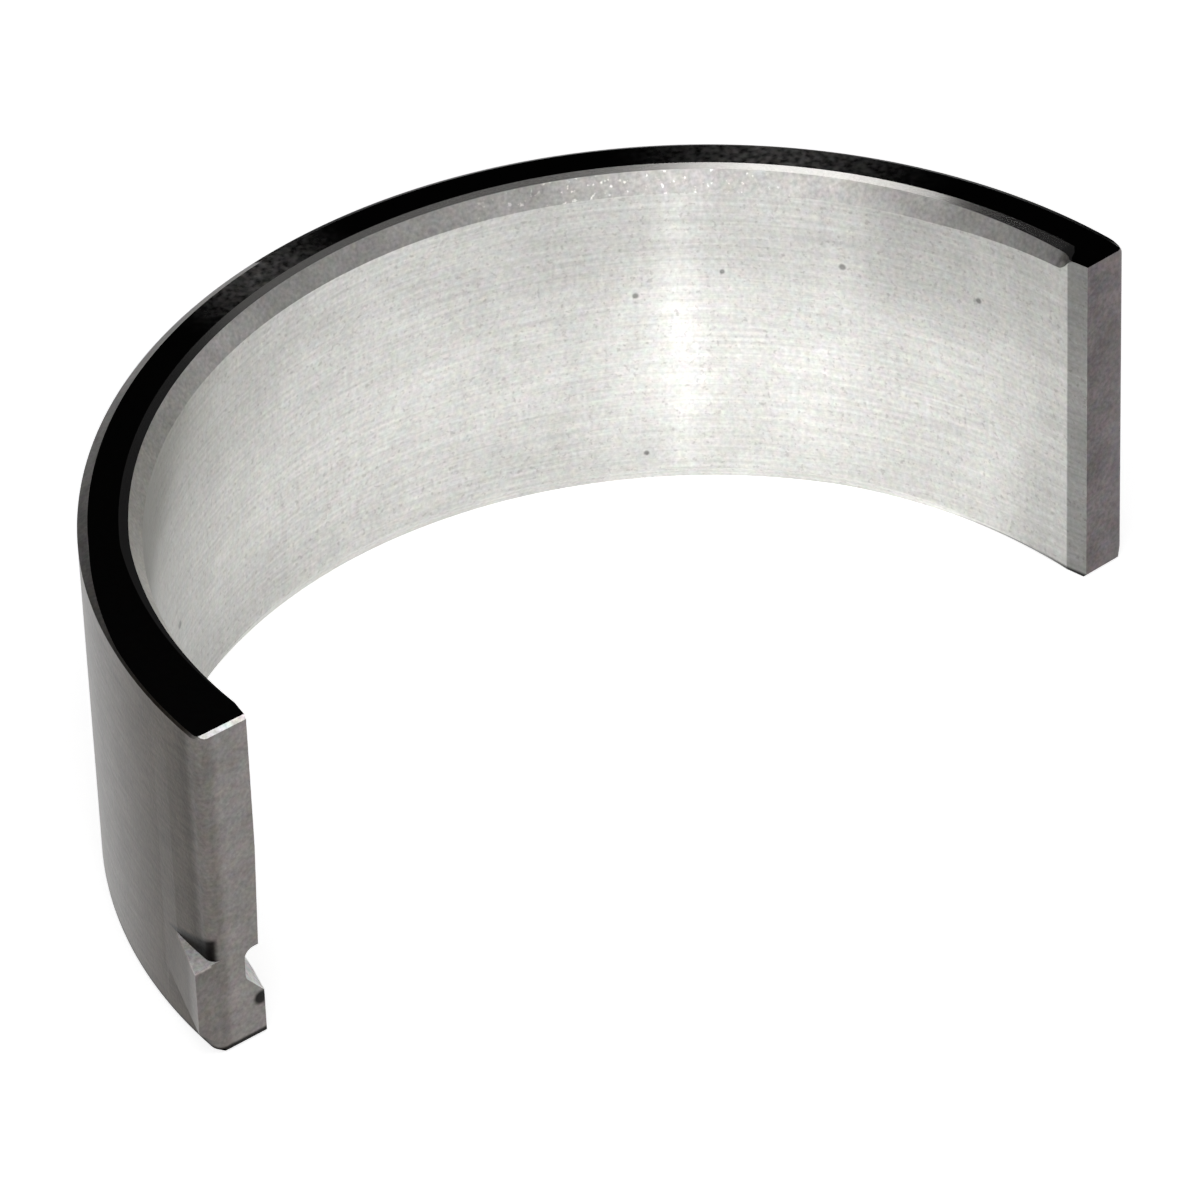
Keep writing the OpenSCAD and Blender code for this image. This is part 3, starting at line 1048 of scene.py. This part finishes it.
def lay_floor(studio):
    """Round floor under the shell."""
    deselect_all()
    bpy.ops.mesh.primitive_circle_add(
        vertices=96, radius=studio.floor_radius, fill_type="NGON", location=(0, 0, -HALF_WIDTH))
    floor = bpy.context.object
    floor.name = "floor"
    bpy.ops.object.transform_apply(location=True, rotation=False, scale=False)
    floor.data.materials.append(floor_material(studio))


def view_direction(azimuth, elevation):
    """Unit vector from the shell towards a camera or lamp."""
    level = cos(elevation)
    return Vector((sin(azimuth) * level, -cos(azimuth) * level, sin(elevation)))


def hang_lamp(name, azimuth, elevation, distance, width, height, brightness):
    """Soft rectangular lamp that faces the shell; brightness 1 looks white in a mirror."""
    direction = view_direction(azimuth, elevation)
    lamp = bpy.data.lights.new(name, "AREA")
    lamp.shape = "RECTANGLE"
    lamp.size = width
    lamp.size_y = height
    lamp.energy = brightness * pi * width * height
    holder = bpy.data.objects.new(name, lamp)
    bpy.context.scene.collection.objects.link(holder)
    holder.location = direction * distance
    holder.rotation_euler = direction.to_track_quat("Z", "Y").to_euler()
    holder.visible_camera = False


def set_camera(studio):
    """Camera at the photograph's place, with its long lens."""
    back = view_direction(studio.view_azimuth, studio.view_elevation)
    right = Vector((cos(studio.view_azimuth), sin(studio.view_azimuth), 0))
    up = back.cross(right)
    rolled_right = right * cos(studio.view_roll) + up * sin(studio.view_roll)
    rolled_up = up * cos(studio.view_roll) - right * sin(studio.view_roll)
    place = Vector((0, 0, -HALF_WIDTH)) + back * studio.view_distance
    place += right * studio.view_right + up * studio.view_up
    camera_data = bpy.data.cameras.new("camera")
    camera_data.sensor_width = SENSOR_MM
    camera_data.lens = studio.view_lens
    camera_data.clip_start = 0.01
    camera = bpy.data.objects.new("camera", camera_data)
    bpy.context.scene.collection.objects.link(camera)
    turn = Matrix((rolled_right, rolled_up, back)).transposed().to_4x4()
    camera.matrix_world = Matrix.Translation(place) @ turn
    bpy.context.scene.camera = camera


class BEARING_OT_studio(bpy.types.Operator):
    """Lays the floor, hangs the lamps and sets the camera"""

    bl_idname = "bearing.studio"
    bl_label = "Studio"

    def execute(self, context):
        studio = context.scene.bearing_studio
        lay_floor(studio)
        for name, turn, rise_angle, *form in LAMPS:
            hang_lamp(name, studio.view_azimuth + radians(turn), radians(rise_angle), *form)
        world = bpy.data.worlds.new("room")
        world.use_nodes = True
        background = world.node_tree.nodes["Background"]
        background.inputs["Color"].default_value = (*studio.dark_color, 1)
        context.scene.world = world
        context.scene.view_settings.view_transform = "Standard"
        set_camera(studio)
        return {"FINISHED"}


class BEARING_PT_panel(bpy.types.Panel):
    """Lists the pieces and the studio"""

    bl_idname = "BEARING_PT_panel"
    bl_label = "Bearing shell"
    bl_space_type = "VIEW_3D"
    bl_region_type = "UI"
    bl_category = "Bearing"

    def draw(self, context):
        for operator in OPERATORS:
            self.layout.operator(operator.bl_idname)
        for group in GROUPS:
            settings = getattr(context.scene, group)
            for key in settings.bl_rna.properties.keys():
                if key not in ("rna_type", "name"):
                    self.layout.prop(settings, key)


OPERATORS = (BEARING_OT_shell, BEARING_OT_studio)
GROUPS = {
    "bearing_sizes": ShellSizes,
    "bearing_finish": ShellFinish,
    "bearing_studio": StudioSettings,
}


def register():
    for group, settings in GROUPS.items():
        bpy.utils.register_class(settings)
        setattr(bpy.types.Scene, group, PointerProperty(type=settings))
    for operator in OPERATORS:
        bpy.utils.register_class(operator)
    bpy.utils.register_class(BEARING_PT_panel)


def unregister():
    bpy.utils.unregister_class(BEARING_PT_panel)
    for operator in OPERATORS:
        bpy.utils.unregister_class(operator)
    for group, settings in GROUPS.items():
        delattr(bpy.types.Scene, group)
        bpy.utils.unregister_class(settings)


def main():
    """Models the shell and its studio."""
    register()
    bpy.ops.bearing.shell()
    bpy.ops.bearing.studio()


if __name__ == "__main__":
    main()
